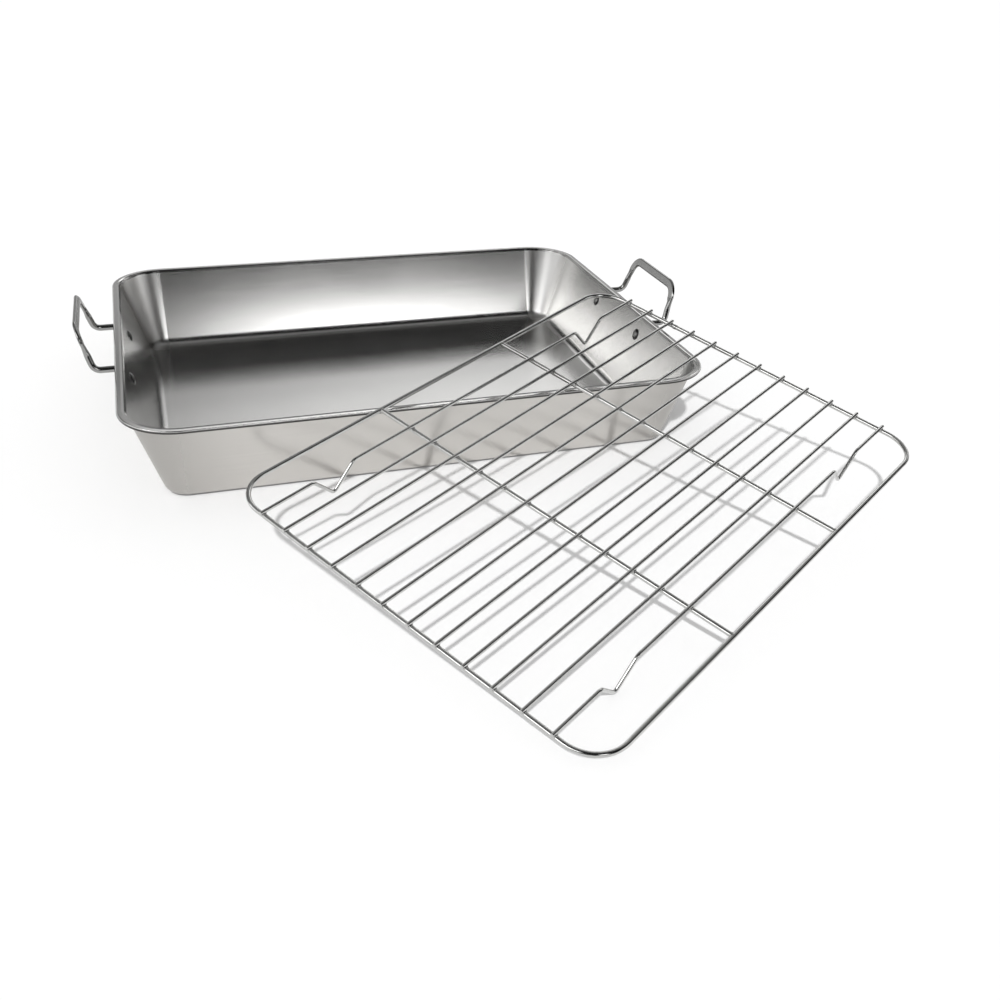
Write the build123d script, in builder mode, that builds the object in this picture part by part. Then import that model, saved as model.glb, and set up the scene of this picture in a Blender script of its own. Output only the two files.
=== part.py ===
from build123d import *
import os
from math import asin, atan2, cos, degrees, hypot, radians, sin, tan

# Roasting pan with its loose wire rack, the rack leaning on the pan's front rim.
# The frame is the pan's: X along it, Y to its back, Z up, origin at the centre of its underside.
# Lengths are in millimetres, angles in degrees where a name ends in _angle, else in radians.

# Pan: one drawn sheet with a flat rim whose edge is folded under
rim_length = 400.0            # over the rim, left to right
rim_width = 316.0             # over the rim, front to back
pan_height = 59.0             # floor's underside to the top of the rim
rim_corner_radius = 38.0      # outer edge of the rim, seen from above
rim_flange = 6.0              # breadth of the flat rim
flare = 18.0                  # lean of the walls from the base's edge to the rim's inner edge
sheet = 1.0                   # thickness of the steel
base_bend = 7.8               # outer radius between floor and walls
rim_bend = 0.5                # radius under the rim where the wall turns out
hem_width = 4.5               # how far the folded edge reaches back under the rim

# Handles: round wire, its grip pressed flat, its ends pressed into riveted pads
handle_wire = 4.5             # diameter
handle_spacing = 80.8         # between the two legs where they leave the wall
grip_spacing = 69.0           # between the grip's two corners
bend_reach = 13.4             # from the rim's edge out to the bend below the legs
grip_reach = 21.4             # from the rim's edge out to the grip
grip_rise = 22.2              # from the rim's top up to the grip's centre line
hem_gap = 0.6                 # between the wire and the rim's fold above it
wall_bend = 4.0               # centre line radius where the wire leaves the wall
leg_bend = 6.0                # centre line radius below each leg
grip_bend = 11.0              # centre line radius at the grip's corners
grip_height = 7.0             # flattened section, in the plane of the loop
grip_thickness = 2.4          # flattened section, square to that plane
grip_neck = 9.0               # length of the change from round to flat, on each leg
grip_lap = 0.2                # how far the flat begins before the corner
pad_width = 8.0
pad_thickness = 1.8
pad_top = 3.6                 # from the rivet up to the pad's upper end
pad_neck = 2.6                # length of the change from pad to round wire

# Rivets: domed head inside the pan, closed head outside on the pad
rivet_level = 45.8            # height of the rivets on the wall's outer face
rivet_shank = 4.0             # diameter
rivet_clearance = 0.1         # around the shank, on the radius
inner_head = 9.0              # diameter
inner_head_height = 1.6
outer_head = 6.5              # diameter
outer_head_height = 1.2

# Rack: a frame of thick wire, two cross wires in its plane, twelve thin bars on top
frame_wire = 3.0              # diameter of frame and cross wires
frame_length = 349.0          # along the bars, centre line to centre line
frame_width = 262.0           # across the bars, centre line to centre line
frame_corner = 22.0           # centre line radius
cross_spacing = 116.3         # between the two cross wires
bar_wire = 2.2                # diameter
bar_count = 12
bar_pitch = 18.87
bar_overhang = 0.5            # bar ends past the frame's outer side
weld_sink = 0.3               # how far a bar is melted into the wires below it
butt_weld = 3.5               # diameter of the bead where the frame's wire is joined
butt_weld_length = 2.4
butt_weld_place = 62.0        # from the middle of the frame's end to the bead

# Feet: a V pressed down into the first and last bar, near each end
foot_spacing = 245.0          # between the two feet of a bar
foot_width = 31.0             # of the V at the bar
foot_depth = 16.2             # of the V's straight sides, where they would meet
foot_tip_bend = 2.2           # centre line radius at the tip
foot_top_bend = 5.0           # centre line radius at the bar

# How the rack leans: over the front rim, with one foot on the ground
rack_turn_angle = 31.64       # of the bars to the pan's length
rack_side = 77.04             # from the pan's middle to the rack's, to the right
rack_down = 82.28             # from the rim's edge to the rack's middle, down the slope
rack_gap = 0.3                # between the frame and the rim
ground_gap = 0.2              # under the foot's tip

# Sizes that follow from those above
base_length = rim_length - 2 * rim_flange - 2 * flare
wall_lean = atan2(flare, pan_height) + asin(sheet / hypot(flare, pan_height))
corner_x = rim_length / 2 - rim_corner_radius
corner_y = rim_width / 2 - rim_corner_radius
rim_under = pan_height - sheet
hem_under = rim_under - sheet
handle_radius = handle_wire / 2
frame_radius = frame_wire / 2
bar_radius = bar_wire / 2
bar_height = frame_radius + bar_radius - weld_sink
outer_bar = (bar_count - 1) / 2 * bar_pitch
cut_overrun = 2 * sheet       # how far every cutting tool runs past what it cuts


def wall_face(level):
    """The outer face of an end wall, as its distance from the pan's middle at this height."""
    return base_length / 2 + level * tan(wall_lean)


def rivet_plane(side, across):
    """A plane on the outer face of an end wall, at a rivet: its Z points out, its Y up the wall."""
    place = (side * wall_face(rivet_level), across * handle_spacing / 2, rivet_level)
    outward = (side * cos(wall_lean), 0, -sin(wall_lean))
    return Plane(origin=place, x_dir=(0, side, 0), z_dir=outward)


def keep(part, name):
    """Label a finished piece and write it."""
    part.label = name
    export_step(part, f"parts/{name}.step")


os.makedirs("parts", exist_ok=True)
rivet_places = {
    "rivet_right_front": rivet_plane(1, -1),
    "rivet_right_back": rivet_plane(1, 1),
    "rivet_left_front": rivet_plane(-1, -1),
    "rivet_left_back": rivet_plane(-1, 1),
}


# Pan body
def wall_section(plane):
    """Floor, wall and hemmed rim in section, measured outward from the axis of a corner."""
    base_edge = rim_corner_radius - rim_flange - flare
    rim_start = base_edge + rim_under * tan(wall_lean)
    fold_centre = rim_corner_radius - sheet
    with BuildSketch(plane) as section:
        with BuildLine():
            FilletPolyline(
                (0, 0),
                (base_edge, 0),
                (rim_start, rim_under),
                (fold_centre, rim_under),
                radius=[base_bend, rim_bend],
            )
            offset(amount=sheet, side=Side.LEFT)
        make_face()
        with Locations((rim_corner_radius - hem_width / 2, rim_under)):
            SlotOverall(hem_width, 2 * sheet)
    return section.sketch


with BuildPart() as pan_body:
    # One quarter of the pan: a corner, half an end, half a side and the floor between them
    corner = (corner_x, corner_y, 0)
    end_section = wall_section(Plane(corner, x_dir=(1, 0, 0), z_dir=(0, -1, 0)))
    extrude(end_section, amount=corner_y)
    revolve(end_section, axis=Axis(corner, (0, 0, 1)), revolution_arc=90)
    side_section = wall_section(Plane(corner, x_dir=(0, 1, 0), z_dir=(1, 0, 0)))
    extrude(side_section, amount=-corner_x)
    Box(corner_x, corner_y, sheet, align=(Align.MIN, Align.MIN, Align.MIN))
    # The other three quarters
    mirror(about=Plane.YZ)
    mirror(about=Plane.XZ)
    with Locations(*rivet_places.values()):
        Cylinder(rivet_shank / 2 + rivet_clearance, 2 * (sheet + cut_overrun), mode=Mode.SUBTRACT)
keep(pan_body.part, "pan_body")

# Handles
stub_level = hem_under - hem_gap - handle_radius
wire_from_wall = handle_radius / cos(wall_lean)
bend_place = rim_length / 2 + bend_reach
grip_place = rim_length / 2 + grip_reach
grip_level = pan_height + grip_rise
lug = rivet_plane(1, -1)
pad_end = Plane(lug.from_local_coords((0, pad_top, pad_thickness / 2)), x_dir=(0, 1, 0), z_dir=lug.y_dir)
neck_end = lug.from_local_coords((0, pad_top + pad_neck, handle_radius))
wire_end = Plane(neck_end, x_dir=(0, 1, 0), z_dir=lug.y_dir)
leg_foot = Vector(bend_place, -handle_spacing / 2, stub_level)
grip_corner = Vector(grip_place, -grip_spacing / 2, grip_level)
grip_way = Vector(0, 1, 0)
leg_way = (grip_corner - leg_foot).normalized()
corner_reach = grip_bend * tan(radians(leg_way.get_angle(grip_way)) / 2)
flat_end = Plane(grip_corner - leg_way * (corner_reach + grip_lap), x_dir=grip_way, z_dir=leg_way)
round_end = flat_end.offset(-grip_neck)

with BuildPart() as handle_right:
    # One leg, from the top of its pad to where it begins to flatten
    with BuildLine() as leg:
        FilletPolyline(
            neck_end,
            (wall_face(stub_level) + wire_from_wall, -handle_spacing / 2, stub_level),
            leg_foot,
            round_end.origin,
            radius=[wall_bend, leg_bend],
        )
    with BuildSketch(wire_end):
        Circle(handle_radius)
    sweep()
    # The wire's end pressed flat against the wall, with a hole for the rivet
    with BuildSketch(lug):
        Circle(pad_width / 2)
        Rectangle(pad_width, pad_top, align=(Align.CENTER, Align.MIN))
        Circle(rivet_shank / 2 + rivet_clearance, mode=Mode.SUBTRACT)
    extrude(amount=pad_thickness)
    with BuildSketch(pad_end):
        Rectangle(pad_width, pad_thickness)
    with BuildSketch(wire_end):
        Circle(handle_radius)
    loft()
    # The change from the round wire to the flat grip, then the corner and half of the grip
    with BuildSketch(round_end):
        Circle(handle_radius)
    with BuildSketch(flat_end):
        SlotOverall(grip_height, grip_thickness)
    loft()
    with BuildLine() as grip:
        FilletPolyline(flat_end.origin, grip_corner, (grip_place, 0, grip_level), radius=grip_bend)
    with BuildSketch(flat_end):
        SlotOverall(grip_height, grip_thickness)
    sweep(path=grip.line)
    mirror(about=Plane.XZ)
keep(handle_right.part, "handle_right")

with BuildPart() as handle_left:
    mirror(handle_right.part, about=Plane.YZ)
keep(handle_left.part, "handle_left")

# Rivets
inner_tip = -sheet - inner_head_height
outer_tip = pad_thickness + outer_head_height
for rivet_name, place in rivet_places.items():
    with BuildPart() as rivet:
        # Half the rivet in section: X from its axis, Y outward from the wall's outer face
        with BuildSketch(Plane(place.origin, x_dir=place.x_dir, z_dir=-place.y_dir)):
            with BuildLine():
                TangentArc((0, inner_tip), (inner_head / 2, -sheet), tangent=(1, 0))
                Polyline(
                    (inner_head / 2, -sheet),
                    (rivet_shank / 2, -sheet),
                    (rivet_shank / 2, pad_thickness),
                    (outer_head / 2, pad_thickness),
                )
                TangentArc((0, outer_tip), (outer_head / 2, pad_thickness), tangent=(1, 0))
                Line((0, inner_tip), (0, outer_tip))
            make_face()
        revolve(axis=Axis(place.origin, place.z_dir))
    keep(rivet.part, rivet_name)

# How the rack lies. Seen along the rim, the foot's tip is foot_reach down the slope from the rim's
# fold and foot_lift off the slope through the fold's centre, and it ends foot_fall below that centre.
turn = radians(rack_turn_angle)
fold_to_frame = sheet + rack_gap + frame_radius
tip_rounding = foot_tip_bend * (hypot(foot_depth, foot_width / 2) / (foot_width / 2) - 1)
foot_lift = fold_to_frame + bar_height - foot_depth + tip_rounding
foot_reach = rack_down + foot_spacing / 2 * sin(turn) + outer_bar * cos(turn)
foot_fall = rim_under - bar_radius - ground_gap
tilt = asin(foot_fall / hypot(foot_reach, foot_lift)) + atan2(foot_lift, foot_reach)
up_slope = Vector(0, cos(tilt), sin(tilt))
off_slope = Vector(0, -sin(tilt), cos(tilt))
fold = Vector(0, -rim_width / 2 + sheet, rim_under)
middle = fold + Vector(rack_side, 0, 0) - up_slope * rack_down + off_slope * fold_to_frame
along_bars = Vector(cos(turn), 0, 0) + up_slope * sin(turn)
rack_plane = Plane(origin=middle, x_dir=along_bars, z_dir=off_slope)


def across_plane(place):
    """The rack's section through this place along the bars: X is along them, Y off the rack."""
    return Plane(rack_plane.from_local_coords(place), x_dir=rack_plane.x_dir, z_dir=-rack_plane.y_dir)


# Rack frame, bent from one wire and joined by a butt weld
half_length = frame_length / 2
half_width = frame_width / 2
with BuildPart() as rack_frame:
    with BuildLine(rack_plane) as loop:
        FilletPolyline(
            (-half_length, -half_width),
            (half_length, -half_width),
            (half_length, half_width),
            (-half_length, half_width),
            radius=frame_corner,
            close=True,
        )
    with BuildSketch(Plane(loop.line @ 0, z_dir=loop.line % 0)):
        Circle(frame_radius)
    sweep()
    weld_place = rack_plane.from_local_coords((half_length, butt_weld_place, 0))
    with Locations(Plane(weld_place, x_dir=rack_plane.x_dir, z_dir=rack_plane.y_dir)):
        Cylinder(butt_weld / 2, butt_weld_length)
keep(rack_frame.part, "rack_frame")

# Cross wires, butted against the frame's inner side
cross_wires = {}
for wire_name, side in {"rack_cross_wire_left": -1, "rack_cross_wire_right": 1}.items():
    cross_start = rack_plane.from_local_coords((side * cross_spacing / 2, 0, 0))
    with BuildPart() as cross_wire:
        with BuildSketch(Plane(cross_start, x_dir=rack_plane.x_dir, z_dir=rack_plane.y_dir)):
            Circle(frame_radius)
        extrude(amount=half_width, both=True)
        add(rack_frame.part, mode=Mode.SUBTRACT)
    keep(cross_wire.part, wire_name)
    cross_wires[wire_name] = cross_wire.part

# Bars, laid over the frame and the cross wires and melted a little into them
bar_end = half_length + frame_radius + bar_overhang
foot_middle = foot_spacing / 2
foot_half = foot_width / 2
for number in range(bar_count):
    footed = number in (0, bar_count - 1)
    bar_place = (0, outer_bar - number * bar_pitch, bar_height)
    with BuildPart() as bar:
        with BuildLine(across_plane(bar_place)) as bar_path:
            if footed:
                FilletPolyline(
                    (-bar_end, 0),
                    (-foot_middle - foot_half, 0),
                    (-foot_middle, -foot_depth),
                    (-foot_middle + foot_half, 0),
                    (foot_middle - foot_half, 0),
                    (foot_middle, -foot_depth),
                    (foot_middle + foot_half, 0),
                    (bar_end, 0),
                    radius=2 * [foot_top_bend, foot_tip_bend, foot_top_bend],
                )
            else:
                Line((-bar_end, 0), (bar_end, 0))
        with BuildSketch(Plane(bar_path.line @ 0, z_dir=bar_path.line % 0)):
            Circle(bar_radius)
        sweep()
        add(rack_frame.part, mode=Mode.SUBTRACT)
        for wire in cross_wires.values():
            add(wire, mode=Mode.SUBTRACT)
    keep(bar.part, f"rack_bar_{number + 1:02d}")
print("wall lean", round(degrees(wall_lean), 2), "rack tilt", round(degrees(tilt), 3))
print("rack middle", [round(value, 2) for value in middle])
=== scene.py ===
# %% [markdown]
# # A roasting pan with its rack
# The pan, its two handles, four rivets and fifteen rack wires arrive as finished solids.
# They are loaded as a fixed frame, and nearly all of the lesson is about how steel looks: satin
# sheet, polished wire and bright plated wire. Lengths are in metres unless a comment differs.

# %% Load the model
import math
import bpy
import numpy as np
from mathutils import Matrix, Vector


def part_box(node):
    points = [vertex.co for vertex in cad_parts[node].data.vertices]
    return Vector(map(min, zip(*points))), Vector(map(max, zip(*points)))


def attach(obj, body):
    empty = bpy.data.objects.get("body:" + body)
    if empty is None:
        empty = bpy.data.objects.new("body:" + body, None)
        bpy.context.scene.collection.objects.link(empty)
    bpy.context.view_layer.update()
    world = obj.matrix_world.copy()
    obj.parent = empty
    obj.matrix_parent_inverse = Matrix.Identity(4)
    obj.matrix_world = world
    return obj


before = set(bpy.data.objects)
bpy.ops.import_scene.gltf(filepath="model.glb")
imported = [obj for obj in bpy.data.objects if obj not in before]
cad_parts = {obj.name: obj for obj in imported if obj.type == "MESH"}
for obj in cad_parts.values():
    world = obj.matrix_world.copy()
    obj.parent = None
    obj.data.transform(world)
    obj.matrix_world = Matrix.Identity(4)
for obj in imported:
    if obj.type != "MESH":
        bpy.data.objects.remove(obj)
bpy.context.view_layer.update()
scene = bpy.context.scene

# %% [markdown]
# ## Where the camera stands
# The camera stands at the front left, some 75 cm in front of the pan's middle and 35 cm above the
# table, and looks down into the pan. Its place and lens come from the way that the pan's parallel
# edges run together.

# %% Camera
CAMERA_PLACE = (-0.16702, -0.75259, 0.3487)
CAMERA_TURN = math.radians(19.292)     # from straight ahead towards the right
CAMERA_PITCH = math.radians(30.199)    # downwards
CAMERA_ROLL = math.radians(2.501)
SENSOR = 36.0                          # millimetres, as a lens is given too
FOCAL_SHARE = 1.0542                   # focal length as a share of the picture's width

camera_data = bpy.data.cameras.new("camera")
camera_data.sensor_width = SENSOR
camera_data.lens = SENSOR * FOCAL_SHARE
camera = bpy.data.objects.new("camera", camera_data)
turned = Matrix.Rotation(-CAMERA_TURN, 4, "Z")
pitched = Matrix.Rotation(math.pi / 2 - CAMERA_PITCH, 4, "X")
rolled = Matrix.Rotation(CAMERA_ROLL, 4, "Z")
camera.matrix_world = Matrix.Translation(CAMERA_PLACE) @ turned @ pitched @ rolled
scene.collection.objects.link(camera)
scene.camera = camera
scene.view_settings.view_transform = "Standard"
print("lens", round(camera_data.lens, 2), "mm")

# %% [markdown]
# ## Helpers for shader nodes
# A shader is a graph, and most of it is small sums. One function adds a node, fills its sockets
# and joins its wires, and a few short ones name the sums that come up again and again, so that
# each material below reads like a recipe.

# %% Node helpers
def add_node(tree, kind, settings=None, **sockets):
    """Add a node. Its settings are its properties, and sockets fills its inputs, each by its name
    or as _0, _1 and so on for its number."""
    node = tree.nodes.new(kind)
    for key, value in (settings or {}).items():
        setattr(node, key, value)
    for key, value in sockets.items():
        place = int(key[1:]) if key[0] == "_" and key[1:].isdigit() else key.replace("_", " ")
        socket = node.inputs[place]
        if isinstance(value, bpy.types.NodeSocket):
            tree.links.new(value, socket)
        else:
            socket.default_value = value
    return node


def calc(tree, operation, a, b=0.0):
    """One sum of numbers, as the socket of its result."""
    return add_node(tree, "ShaderNodeMath", {"operation": operation}, _0=a, _1=b).outputs[0]


def vector_calc(tree, operation, a, b=(0, 0, 0)):
    """One sum of vectors, as the socket of its result: a number for a dot product or a length."""
    node = add_node(tree, "ShaderNodeVectorMath", {"operation": operation}, _0=a, _1=b)
    return node.outputs["Value" if operation in ("DOT_PRODUCT", "LENGTH") else "Vector"]


def scaled(tree, vector, share):
    """A vector or a colour times a number."""
    settings = {"operation": "SCALE"}
    return add_node(tree, "ShaderNodeVectorMath", settings, _0=vector, Scale=share).outputs[0]


def split(tree, vector):
    """The x, y and z of a vector."""
    return tuple(add_node(tree, "ShaderNodeSeparateXYZ", Vector=vector).outputs)


def ramp(tree, value, low, high, to_low=0.0, to_high=1.0, smooth=True):
    """Carry value from low..high to to_low..to_high, held at both ends."""
    kind = "SMOOTHSTEP" if smooth else "LINEAR"
    node = add_node(
        tree, "ShaderNodeMapRange", {"interpolation_type": kind},
        Value=value, From_Min=low, From_Max=high, To_Min=to_low, To_Max=to_high,
    )
    return node.outputs["Result"]


def blend(tree, share, a, b):
    """A number that goes evenly from a to b as share goes from 0 to 1."""
    mix = add_node(tree, "ShaderNodeMix", {"data_type": "FLOAT"}, Factor=share, A=a, B=b)
    return mix.outputs[0]


def surface_normal(tree):
    """The way that the surface faces."""
    return add_node(tree, "ShaderNodeNewGeometry").outputs["Normal"]


print("helpers ready")

# %% [markdown]
# ## The studio
# Steel has next to no colour of its own: it shows what stands around it. So the room is built for
# the mirror alone, as a dark sky with soft patches of light: windows in front, at the left and
# behind, pale walls, and a faint glow overhead. Each patch has a direction, a breadth, a lowest
# and a highest edge and a strength, and fades softly beyond its edges. The sky shader sums them.
# Rays from matt surfaces see an even grey room instead, and the camera sees plain white behind
# the object.

# %% Sky
FILL = 0.52                            # brightness of the room as soft light
CEILING = 0.012                        # brightness of the sky between the patches
WHITE = (1, 1, 1, 1)
# Each patch in degrees: its middle, as a turn from the front to the left, half its breadth and how
# softly its sides fade, its lowest and highest edge and how softly they fade. Last, its strength.
SKY_PATCHES = {
    "front_window": (-12, 5, 7, 23, 28, 6, 5.2),
    "left_window": (58, 22, 10, 29, 37, 5, 4.6),
    "left_wall": (85, 25, 15, 6, 30, 5, 1.4),
    "back_window": (-146, 10, 44, 27, 34, 4, 2.5),
    "back_room": (180, 70, 20, -10, 20, 4, 0.5),
    "right_wall": (-56, 10, 8, -10, 9, 4, 2.2),
    "back_high": (180, 80, 30, 42, 75, 10, 0.28),
    "overhead": (0, 180, 1, 85, 95, 5, 0.25),
}

world = bpy.data.worlds.new("studio")
scene.world = world
world.use_nodes = True
sky = world.node_tree
sky.nodes.clear()
toward = add_node(sky, "ShaderNodeTexCoord").outputs["Generated"]
sky_height = calc(sky, "ARCSINE", split(sky, toward)[2])


def sky_patch(turn, breadth, side_soft, low, high, soft, strength):
    """A patch of light on the sky. How far a direction is turned from the patch's middle is the
    arc tangent of its two dot products, with the sideways direction and with the middle's."""
    turn, breadth, side_soft = (math.radians(angle) for angle in (turn, breadth, side_soft))
    low, high, soft = (math.radians(angle) for angle in (low, high, soft))
    middle = (-math.sin(turn), -math.cos(turn), 0)
    sideways = (math.cos(turn), -math.sin(turn), 0)
    ahead = vector_calc(sky, "DOT_PRODUCT", toward, middle)
    aside = vector_calc(sky, "DOT_PRODUCT", toward, sideways)
    away = calc(sky, "ABSOLUTE", calc(sky, "ARCTAN2", aside, ahead))
    within = ramp(sky, away, breadth, breadth + side_soft, 1.0, 0.0)
    above = ramp(sky, sky_height, low - soft, low)
    below = ramp(sky, sky_height, high, high + soft, strength, 0.0)
    return calc(sky, "MULTIPLY", within, calc(sky, "MULTIPLY", above, below))


total = CEILING
for patch in SKY_PATCHES.values():
    total = calc(sky, "ADD", total, sky_patch(*patch))
rays = add_node(sky, "ShaderNodeLightPath").outputs
room = add_node(sky, "ShaderNodeBackground", Color=WHITE, Strength=FILL)
mirrored = add_node(sky, "ShaderNodeBackground", Color=WHITE, Strength=total)
backdrop = add_node(sky, "ShaderNodeBackground", Color=WHITE, Strength=1.0)
seen_in_metal = add_node(
    sky, "ShaderNodeMixShader", Fac=rays["Is Glossy Ray"],
    _1=room.outputs[0], _2=mirrored.outputs[0],
)
seen = add_node(
    sky, "ShaderNodeMixShader", Fac=rays["Is Camera Ray"],
    _1=seen_in_metal.outputs[0], _2=backdrop.outputs[0],
)
add_node(sky, "ShaderNodeOutputWorld", Surface=seen.outputs[0])
print("sky patches", len(SKY_PATCHES))

# %% [markdown]
# ## One lamp and a white table
# The wires throw thin, pale shadows towards the back right, so a fairly small lamp stands at the
# front left, at a height of about 46 degrees. The table is white. A share of its brightness is
# added only where the camera or a mirror looks at it, which keeps its shadows pale.

# %% Lamp
LAMP_DIRECTION = Vector((-0.38, -0.88, 1.0)).normalized()
LAMP_SPREAD = math.radians(2.5)        # angle that the lamp's disc fills
LAMP_STRENGTH = 2.3

lamp_data = bpy.data.lights.new("soft_lamp", "SUN")
lamp_data.angle = LAMP_SPREAD
lamp_data.energy = LAMP_STRENGTH
lamp = bpy.data.objects.new("soft_lamp", lamp_data)
lamp.matrix_world = LAMP_DIRECTION.to_track_quat("Z", "Y").to_matrix().to_4x4()
lamp.visible_glossy = False            # the metal mirrors only the sky's patches and the table
scene.collection.objects.link(lamp)
print("lamp strength", LAMP_STRENGTH)

# %% Table
TABLE_HALF = 4.0
TABLE_COLOUR = (0.9, 0.9, 0.9, 1)
TABLE_BOOST = 0.08                     # brightness added where the table is looked at

corners = np.array([(-1, -1, 0), (1, -1, 0), (1, 1, 0), (-1, 1, 0)], float) * TABLE_HALF
table_mesh = bpy.data.meshes.new("table")
table_mesh.from_pydata(corners.tolist(), [], [(0, 1, 2, 3)])
table = bpy.data.objects.new("table", table_mesh)
scene.collection.objects.link(table)

table_paint = bpy.data.materials.new("table_white")
table_paint.use_nodes = True
tree = table_paint.node_tree
tree.nodes.clear()
rays = add_node(tree, "ShaderNodeLightPath").outputs
looked_at = calc(tree, "MAXIMUM", rays["Is Camera Ray"], rays["Is Glossy Ray"])
matte = add_node(tree, "ShaderNodeBsdfDiffuse", Color=TABLE_COLOUR)
glow = add_node(tree, "ShaderNodeEmission", Strength=calc(tree, "MULTIPLY", looked_at, TABLE_BOOST))
both = add_node(tree, "ShaderNodeAddShader", _0=matte.outputs[0], _1=glow.outputs[0])
add_node(tree, "ShaderNodeOutputMaterial", Surface=both.outputs[0])
table_mesh.materials.append(table_paint)
print("table", 2 * TABLE_HALF, "m square")

# %% [markdown]
# ## Grain
# Satin sheet is rubbed with a belt while it is still flat, so it carries fine straight scratches
# all one way. Noise that is stretched far along one axis looks just like that. The sheet is then
# drawn into the pan: along the floor and the long walls the scratches run with the pan's length,
# and on the two end walls they have been bent up and run from the floor to the rim.

# %% Grain group
GRAIN_ACROSS, GRAIN_ALONG = 1400.0, 12.0   # swings per metre, across and along the scratches
SMUDGE_SCALE = 14.0                        # and those of the broad smudges
NOISE_DETAIL = 3.0                         # how many finer layers each noise has
GRAIN_RASP = 0.6                           # how strong the finer layers of the scratches are
END_FROM, END_FULL = 0.6, 0.8              # a wall that faces this much along the pan is an end


def new_group(name, inputs, outputs):
    """An empty shader group with number inputs (name: default) and number outputs."""
    group = bpy.data.node_groups.new(name, "ShaderNodeTree")
    number = "NodeSocketFloat"
    for label, value in inputs.items():
        socket = group.interface.new_socket(label, in_out="INPUT", socket_type=number)
        socket.default_value = value
    for label in outputs:
        group.interface.new_socket(label, in_out="OUTPUT", socket_type=number)
    return group, group.nodes.new("NodeGroupInput"), group.nodes.new("NodeGroupOutput")


grain_group, grain_in, grain_out = new_group(
    "sheet_grain",
    {"Across": GRAIN_ACROSS, "Along": GRAIN_ALONG, "Smudge": SMUDGE_SCALE},
    ["Grain", "Smudge"],
)
across, along = grain_in.outputs["Across"], grain_in.outputs["Along"]
place = add_node(grain_group, "ShaderNodeTexCoord").outputs["Object"]
place_x, place_y, place_z = split(grain_group, place)
facing_x = calc(grain_group, "ABSOLUTE", split(grain_group, surface_normal(grain_group))[0])
on_end = ramp(grain_group, facing_x, END_FROM, END_FULL)
streaks = add_node(
    grain_group, "ShaderNodeCombineXYZ",
    X=calc(grain_group, "MULTIPLY", place_x, along),
    Y=calc(grain_group, "MULTIPLY", place_y, across),
    Z=calc(grain_group, "MULTIPLY", place_z, blend(grain_group, on_end, across, along)),
)
fine = add_node(
    grain_group, "ShaderNodeTexNoise",
    Vector=streaks.outputs[0], Scale=1.0, Detail=NOISE_DETAIL, Roughness=GRAIN_RASP,
)
broad = add_node(
    grain_group, "ShaderNodeTexNoise",
    Vector=place, Scale=grain_in.outputs["Smudge"], Detail=NOISE_DETAIL,
)
grain_group.links.new(fine.outputs[0], grain_out.inputs["Grain"])
grain_group.links.new(broad.outputs[0], grain_out.inputs["Smudge"])
print("groups", [group.name for group in bpy.data.node_groups])

# %% [markdown]
# ## Distance from the rim
# Much of what follows goes by how far a place is from the rim's outer edge, and that follows from
# the place alone: fold the plan into one quarter, and measure from the middle of its rounded
# corner. The same sum also tells a corner from a straight wall, and a long side from an end.

# %% Rim distance
RIM_CORNER = 0.038                     # radius of the rim's outer edge, seen from above
RIM_BREADTH = 0.006
FAR_OFF = 1.0                          # more than any place's height, so that height never counts
pan_low, pan_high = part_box("pan_body")
rim_middle, rim_half = (pan_low + pan_high) / 2, (pan_high - pan_low) / 2
rim_top = pan_high.z


def edge_distance(tree, spot):
    """Distance inwards from a rounded rectangle: the radius less the distance to the corner's
    middle. The second number is how deep a place lies within the corner's square, and the third
    grows from below zero at the long sides to above zero at the ends."""
    folded = vector_calc(tree, "ABSOLUTE", vector_calc(tree, "SUBTRACT", spot, tuple(rim_middle)))
    corner_middle = (rim_half.x - RIM_CORNER, rim_half.y - RIM_CORNER, FAR_OFF)
    past = vector_calc(tree, "SUBTRACT", folded, corner_middle)
    past_x, past_y, _ = split(tree, past)
    corner = vector_calc(tree, "LENGTH", vector_calc(tree, "MAXIMUM", past))
    straight = calc(tree, "MINIMUM", calc(tree, "MAXIMUM", past_x, past_y), 0.0)
    inwards = calc(tree, "SUBTRACT", RIM_CORNER, calc(tree, "ADD", corner, straight))
    return inwards, calc(tree, "MINIMUM", past_x, past_y), calc(tree, "SUBTRACT", past_x, past_y)


print("rim half lengths", [round(length, 4) for length in rim_half])

# %% [markdown]
# ## Satin sheet
# The pan's steel is a metal with a middling roughness. It came as one sheet, but pressing, rolling
# and polishing have left each part of it a little different in roughness, and painted highlights
# and painted shade set the rim, the ends and the outside apart in colour. So the first step sets up
# masks, numbers from 0 to 1, that tell the rim, the long sides and the outside from the rest.

# %% Masks of the pan
RIM_THICKNESS = 0.0022                 # the sheet and its fold, with a little to spare
SIDE_EASE = 0.02                       # how gradually a long side gives way to an end
FACING_DOWN = -0.2                     # a wall whose normal is no higher than this is outside


def new_metal(name):
    """A metal whose Principled shader is ready for its colour, roughness and bump."""
    material = bpy.data.materials.new(name)
    material.use_nodes = True
    tree = material.node_tree
    tree.nodes.clear()
    shader = add_node(tree, "ShaderNodeBsdfPrincipled", Metallic=1.0)
    add_node(tree, "ShaderNodeOutputMaterial", Surface=shader.outputs[0])
    return material, tree, shader


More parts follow.
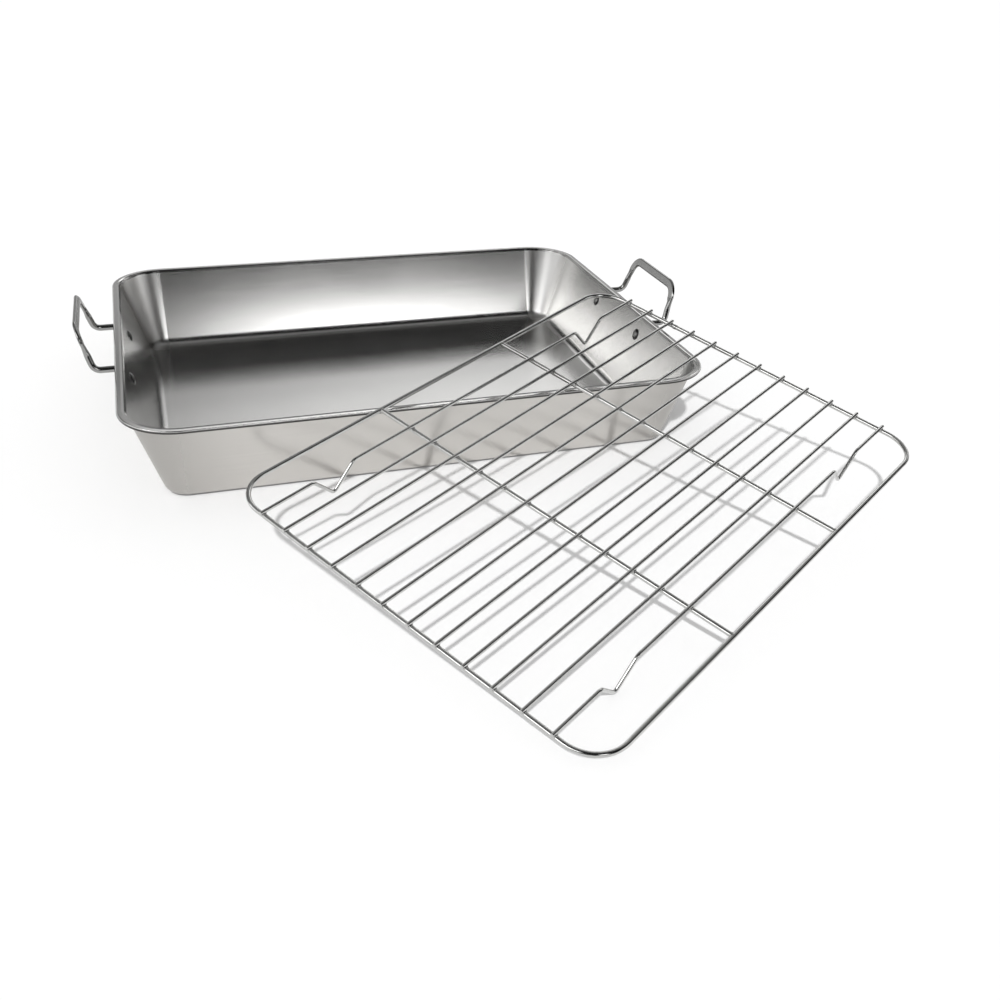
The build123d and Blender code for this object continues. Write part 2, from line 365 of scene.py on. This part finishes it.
pan_steel, tree, shader = new_metal("pan_steel")
grain = add_node(tree, "ShaderNodeGroup", {"node_tree": grain_group})
scratches, smudges = grain.outputs["Grain"], grain.outputs["Smudge"]
spot = add_node(tree, "ShaderNodeTexCoord").outputs["Object"]
place_x, _, place_z = split(tree, spot)
inwards, in_corner, at_end = edge_distance(tree, spot)
normal_z = split(tree, surface_normal(tree))[2]
on_rim = ramp(tree, place_z, rim_top - RIM_THICKNESS, rim_top - RIM_THICKNESS / 3)
long_side = ramp(tree, at_end, -SIDE_EASE, SIDE_EASE, 1.0, 0.0)
outwards = ramp(tree, normal_z, FACING_DOWN, 0.0, 1.0, 0.0)
print("rim top", round(rim_top, 4))

# %% [markdown]
# ## Colour of the sheet
# The inside is a pale grey and the outside keeps a warmer skin. Painted shade darkens the outside
# towards the corners and leaves it a little lighter in the middle. On the rim, a painted highlight
# brightens the long sides and painted shade darkens the ends. Painted shade also draws dark lines
# along the fold's edge, along the bend inside the long sides' rim and along the bend at the base.
# Each of these is a share by which the colour is multiplied.

# %% Sheet colour
PAN_COLOUR = (0.61, 0.606, 0.596)
OUTSIDE_COLOUR = (0.6, 0.583, 0.558)
NOISE_LOW, NOISE_HIGH = 0.3, 0.7       # between these lies nearly all of a noise
GRAIN_DARK, GRAIN_PALE = 0.98, 1.02    # shares in the darkest and in the palest scratches
RIM_PAINTED_HIGHLIGHT, END_PAINTED_SHADE = 1.25, 0.85      # painted highlight on the rim's long sides and painted shade at its ends, as shares
OUTSIDE_SHADE_START = 0.11                      # distance from the middle where the painted shade on the outside starts
OUTSIDE_SHADE_MIDDLE, OUTSIDE_SHADE_END = 1.05, 0.68     # shares before it and at the corners
BASE_EDGE, BASE_SHADE = 0.003, 0.25    # height of the painted shade on the bend at the base, and its share
FOLD_REACH, FOLD_SHADE = 0.0013, 0.12  # breadth of the painted shade line on the fold's edge, and its share
BEND_REACH, BEND_SHADE = 0.0024, 0.12  # the same for the painted shade on the bend inside the rim

# painted highlight on the long sides of the rim and painted shade at its ends
rim_painted_light = blend(tree, long_side, END_PAINTED_SHADE, RIM_PAINTED_HIGHLIGHT)
grained = ramp(tree, scratches, NOISE_LOW, NOISE_HIGH, GRAIN_DARK, GRAIN_PALE, smooth=False)
# painted shade on the outside: darker towards the corners and a little lighter in the middle
painted_outside_shade = ramp(
    tree, calc(tree, "ABSOLUTE", place_x), OUTSIDE_SHADE_START, rim_half.x, OUTSIDE_SHADE_MIDDLE, OUTSIDE_SHADE_END,
)
# painted shade along the bend at the base, the fold's edge and the bend inside the rim
on_base = calc(tree, "MULTIPLY", outwards, ramp(tree, place_z, 0.0, BASE_EDGE, 1.0, 0.0))
near_edge = ramp(tree, inwards, FOLD_REACH / 3, FOLD_REACH, 1.0, 0.0)
below_top = ramp(tree, place_z, rim_top - FOLD_REACH / 2, rim_top, 1.0, 0.0)
on_fold = calc(tree, "MULTIPLY", near_edge, below_top)
near_bend = ramp(tree, inwards, RIM_BREADTH - BEND_REACH, RIM_BREADTH - BEND_REACH / 2)
on_bend = calc(tree, "MULTIPLY", calc(tree, "MULTIPLY", on_rim, near_bend), long_side)

# the grain is the sheet's own; the other shares are painted highlight and painted shade
grain_and_painted_light = blend(tree, on_rim, grained, rim_painted_light)
for mask, share in (
    (on_base, BASE_SHADE), (outwards, painted_outside_shade), (on_fold, FOLD_SHADE), (on_bend, BEND_SHADE),
):
    grain_and_painted_light = calc(tree, "MULTIPLY", grain_and_painted_light, blend(tree, mask, 1.0, share))
skin = add_node(
    tree, "ShaderNodeMix", {"data_type": "VECTOR"},
    Factor=outwards, _4=PAN_COLOUR, _5=OUTSIDE_COLOUR,
).outputs[1]
tree.links.new(scaled(tree, skin, grain_and_painted_light), shader.inputs["Base Color"])
print("pan colour", PAN_COLOUR)

# %% [markdown]
# ## Roughness of the sheet
# Scratches spread reflections across the grain and hardly along it, and the anisotropic setting
# does the same. It stretches reflections along the tangent, which is set to the pan's length, and
# its rotation of a quarter turn lays them across. Drawing the corners has roughened the sheet
# there, and the rim is smooth.

# %% Sheet roughness
PAN_ROUGHNESS, SWING = 0.23, 0.02      # the scratches and the smudges make it swing a little
SCRATCH_LOW, SCRATCH_HIGH = 0.25, 0.75 # the scratches' noise where it is least and most rough
CORNER_ROUGHNESS = 0.12                # how much rougher the corners are,
CORNER_EASE = -0.004, 0.01             # from just outside a corner's square to well within it
RIM_ROUGHNESS = 0.12
PAN_ANISOTROPY, QUARTER_TURN = 0.48, 0.25

satin = ramp(
    tree, scratches, SCRATCH_LOW, SCRATCH_HIGH,
    PAN_ROUGHNESS - SWING, PAN_ROUGHNESS + SWING, smooth=False,
)
smudged = ramp(tree, smudges, NOISE_LOW, NOISE_HIGH, -SWING, SWING, smooth=False)
drawn = ramp(tree, in_corner, *CORNER_EASE, 0.0, CORNER_ROUGHNESS)
satin = calc(tree, "ADD", calc(tree, "ADD", satin, smudged), drawn)
tree.links.new(blend(tree, on_rim, satin, RIM_ROUGHNESS), shader.inputs["Roughness"])
lengthwise = add_node(tree, "ShaderNodeCombineXYZ", X=1.0, Y=0.0, Z=0.0)
tree.links.new(lengthwise.outputs[0], shader.inputs["Tangent"])
shader.inputs["Anisotropic"].default_value = PAN_ANISOTROPY
shader.inputs["Anisotropic Rotation"].default_value = QUARTER_TURN
print("pan roughness", PAN_ROUGHNESS, "at the rim", RIM_ROUGHNESS)

# %% [markdown]
# ## Bends and bow
# The sheet turns over the rim in a soft bend and its edge is folded under, so the rim shines as a
# bright line between two dark ones, which the sheet's colour strengthens with painted highlight and
# painted shade. The solid has sharper bends and straight walls. A bump whose height falls away near
# both edges of the rim turns the surface there as the real bends do, and a low arch over the height
# of each wall gives it the slight bow that a pressed wall has.

# %% Sheet bump
INNER_ROLL, INNER_SLOPE = 0.0028, 1.5  # how far each bend reaches, and how steep it gets
OUTER_ROLL, OUTER_SLOPE = 0.0015, 1.6
WALL_FOOT = 0.004                      # height where a wall begins
SHEET = 0.001                          # the sheet's thickness: a wall ends this far below the top
WALL_BOW = 0.001                       # how far the middle of a wall bows outwards
ARCH_TOP = 0.25                        # a share times what is left of it is this much at the middle
GRAIN_DEPTH, GRAIN_STRENGTH = 0.00002, 0.02


def rolled_edge(tree, distance, reach, slope):
    """Height of a bend that falls as a parabola towards distance 0 and is flat beyond its reach."""
    near = ramp(tree, distance, 0.0, reach, 1.0, 0.0, smooth=False)
    return calc(tree, "MULTIPLY", calc(tree, "MULTIPLY", near, near), -slope * reach / 2)


up_the_wall = ramp(tree, place_z, WALL_FOOT, rim_top - SHEET, smooth=False)
arch = calc(tree, "MULTIPLY", up_the_wall, calc(tree, "SUBTRACT", 1.0, up_the_wall))
inner_face = calc(tree, "SIGN", normal_z)
bow = calc(tree, "MULTIPLY", calc(tree, "MULTIPLY", arch, inner_face), -WALL_BOW / ARCH_TOP)
inner_roll = rolled_edge(
    tree, calc(tree, "SUBTRACT", RIM_BREADTH, inwards), INNER_ROLL, INNER_SLOPE,
)
outer_roll = rolled_edge(tree, inwards, OUTER_ROLL, OUTER_SLOPE)
form = calc(tree, "ADD", bow, calc(tree, "ADD", inner_roll, outer_roll))
bowed = add_node(tree, "ShaderNodeBump", Strength=1.0, Distance=1.0, Height=form)
bump = add_node(
    tree, "ShaderNodeBump", Strength=GRAIN_STRENGTH, Distance=GRAIN_DEPTH,
    Height=scratches, Normal=bowed.outputs[0],
)
tree.links.new(bump.outputs[0], shader.inputs["Normal"])
print("wall bow", WALL_BOW)

# %% [markdown]
# ## Wire and rivets
# The handles and the rack are bent from drawn wire. The handles are tumbled to a soft polish and
# the rack is plated bright. Both are a little uneven, so their noise is fine and their roughness
# low. The rivets are duller, and painted shade draws a dark ring at the foot of each dome that sets
# it off from the wall.

# %% Dome shade
WALL_LEAN = math.radians(17.9)         # how far the walls lean outwards
DOME_FOOT, DOME_FACE = 0.86, 0.98      # cosines where the painted shade ring is full and where it ends
DOME_SHADE = 0.15                      # share of the colour in the painted shade ring


def dome_shade(tree):
    """Painted shade, dark at the edge of a rivet's dome: the dot product of its direction with the
    wall's, which is the cosine of the angle between them. Both sides of both end walls share one
    formula."""
    normal = vector_calc(tree, "ABSOLUTE", surface_normal(tree))
    wall_way = (math.cos(WALL_LEAN), 0.0, math.sin(WALL_LEAN))
    facing = vector_calc(tree, "DOT_PRODUCT", normal, wall_way)
    return ramp(tree, facing, DOME_FOOT, DOME_FACE, DOME_SHADE, 1.0)


print("dome shade", DOME_SHADE)

# %% Wire metals
WIRE_DARK, WIRE_PALE = 0.92, 1.06      # shares of the colour where the noise is low and high
WIRE_DEPTH, WIRE_BUMP = 0.000003, 0.3  # height of the unevenness, and how much of it shows


def wire_metal(name, colour, roughness, swing, scale, painted_edge_shade=False):
    """Polished wire: its colour and roughness swing a little with a fine noise of this scale."""
    material, tree, shader = new_metal(name)
    spot = add_node(tree, "ShaderNodeTexCoord").outputs["Object"]
    noise = add_node(tree, "ShaderNodeTexNoise", Vector=spot, Scale=scale, Detail=NOISE_DETAIL)
    fine = noise.outputs[0]
    shade = ramp(tree, fine, NOISE_LOW, NOISE_HIGH, WIRE_DARK, WIRE_PALE, smooth=False)
    if painted_edge_shade:
        # painted shade: a dark ring at the foot of a rivet's dome
        shade = calc(tree, "MULTIPLY", shade, dome_shade(tree))
    satin = ramp(
        tree, fine, NOISE_LOW, NOISE_HIGH, roughness - swing, roughness + swing, smooth=False,
    )
    bump = add_node(
        tree, "ShaderNodeBump", Strength=WIRE_BUMP, Distance=WIRE_DEPTH, Height=fine,
    )
    tree.links.new(scaled(tree, colour, shade), shader.inputs["Base Color"])
    tree.links.new(satin, shader.inputs["Roughness"])
    tree.links.new(bump.outputs[0], shader.inputs["Normal"])
    return material


handle_steel = wire_metal(
    "handle_steel", (0.32, 0.32, 0.315), roughness=0.13, swing=0.01, scale=220.0,
)
rivet_steel = wire_metal(
    "rivet_steel", (0.25, 0.25, 0.245), roughness=0.28, swing=0.02, scale=500.0, painted_edge_shade=True,
)
rack_wire = wire_metal(
    "rack_wire", (0.54, 0.54, 0.53), roughness=0.14, swing=0.008, scale=160.0,
)
print("wire metals", handle_steel.name, rivet_steel.name, rack_wire.name)

# %% [markdown]
# ## Dressing the nodes
# The first word of a node's name says what kind of piece it is, and each kind has one metal. The
# solids keep their meshes and only get their material.

# %% Dress the nodes
finishes = {"pan": pan_steel, "handle": handle_steel, "rivet": rivet_steel, "rack": rack_wire}
for name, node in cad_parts.items():
    material = finishes[name.split("_")[0]]
    for slot in node.material_slots:
        slot.material = material
    if not node.material_slots:
        node.data.materials.append(material)
print("dressed", len(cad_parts), "nodes")

# %% [markdown]
# ## How the rack lies
# The rack leans on the pan's front rim. It is turned on its slope and the slope is tilted, so
# places on the rack are given along its bars, across them and off its plane, and three directions
# carry them into the room.

# %% Rack directions
RACK_TURN = math.radians(31.64)        # on the slope
RACK_TILT = math.radians(11.488)       # of the slope itself
RACK_MIDDLE = np.array((0.07704, -0.23819, 0.04436))

up_slope = np.array((0, math.cos(RACK_TILT), math.sin(RACK_TILT)))
off_slope = np.array((0, -math.sin(RACK_TILT), math.cos(RACK_TILT)))
along_bars = math.cos(RACK_TURN) * np.array((1.0, 0, 0)) + math.sin(RACK_TURN) * up_slope
rack_axes = np.array((along_bars, np.cross(off_slope, along_bars), off_slope))
print("rack middle", RACK_MIDDLE.tolist())

# %% [markdown]
# ## Weld beads
# Every bar is spot-welded where it lies on the frame and on the two cross wires. The current
# squeezes a little melted metal out between the wires, so each crossing has a small collar. All
# of them are one mesh: a flattened ball, worked out once on a grid of two angles and set down at
# every crossing. Four more sit where the cross wires butt against the frame.

# %% Ball
def ball(rings=7, around=12):
    """Unit ball: x, y, z are sin a cos b, sin a sin b and cos a, with one point at each pole."""
    polar = np.linspace(0, np.pi, rings + 1)[1:-1, None]
    turn = np.linspace(0, 2 * np.pi, around, endpoint=False)[None, :]
    ring_x, ring_y = np.sin(polar) * np.cos(turn), np.sin(polar) * np.sin(turn)
    belt = np.stack((ring_x, ring_y, np.cos(polar) + 0 * turn), -1)
    points = np.vstack((belt.reshape(-1, 3), ((0, 0, 1), (0, 0, -1))))
    index = np.arange((rings - 1) * around).reshape(rings - 1, around)
    beside = np.roll(index, -1, 1)
    sides = np.stack((index[:-1], index[1:], beside[1:], beside[:-1]), -1).reshape(-1, 4)
    top = np.stack((index[0], beside[0], np.full(around, len(points) - 2)), -1)
    bottom = np.stack((beside[-1], index[-1], np.full(around, len(points) - 1)), -1)
    return points, sides.tolist() + top.tolist() + bottom.tolist()


print("ball points", len(ball()[0]))

# %% Weld beads
FRAME_HALF = np.array((0.1745, 0.131))
CROSS_HALF = 0.05815                   # from the middle to a cross wire
BAR_COUNT, BAR_PITCH = 12, 0.01887
WIRE_RADIUS = 0.0015
CONTACT_HEIGHT = 0.00125               # where a bar meets the wires below it
SPOT_BEAD = (0.0021, 0.0017, 0.0008)   # half lengths along the bars, across them and off the plane
BUTT_BEAD = (0.0018, 0.0008, 0.0018)


def set_down(places, size):
    """One ball of this size at every place on the rack, as points and faces."""
    points, faces = ball()
    local = places[:, None, :] + points * size
    shifts = np.arange(len(places)) * len(points)
    many = [[corner + shift for corner in face] for shift in shifts.tolist() for face in faces]
    return local.reshape(-1, 3) @ rack_axes + RACK_MIDDLE, many


bar_places = ((BAR_COUNT - 1) / 2 - np.arange(BAR_COUNT)) * BAR_PITCH
lines = np.array((-FRAME_HALF[0], -CROSS_HALF, CROSS_HALF, FRAME_HALF[0]))
spots = np.array([(x, y, CONTACT_HEIGHT) for x in lines for y in bar_places])
cross_ends = np.array((-1, 1)) * (FRAME_HALF[1] - WIRE_RADIUS)
butts = np.array([(x, y, 0) for x in (-CROSS_HALF, CROSS_HALF) for y in cross_ends])
spot_points, spot_faces = set_down(spots, SPOT_BEAD)
butt_points, butt_faces = set_down(butts, BUTT_BEAD)
bead_mesh = bpy.data.meshes.new("rack_weld_beads")
shifted = [[corner + len(spot_points) for corner in face] for face in butt_faces]
bead_mesh.from_pydata(np.vstack((spot_points, butt_points)).tolist(), [], spot_faces + shifted)
bead_mesh.shade_smooth()
bead_mesh.materials.append(rack_wire)
rack_weld_beads = bpy.data.objects.new("rack_weld_beads", bead_mesh)
scene.collection.objects.link(rack_weld_beads)
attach(rack_weld_beads, "rack")
print("weld beads", len(spots) + len(butts))
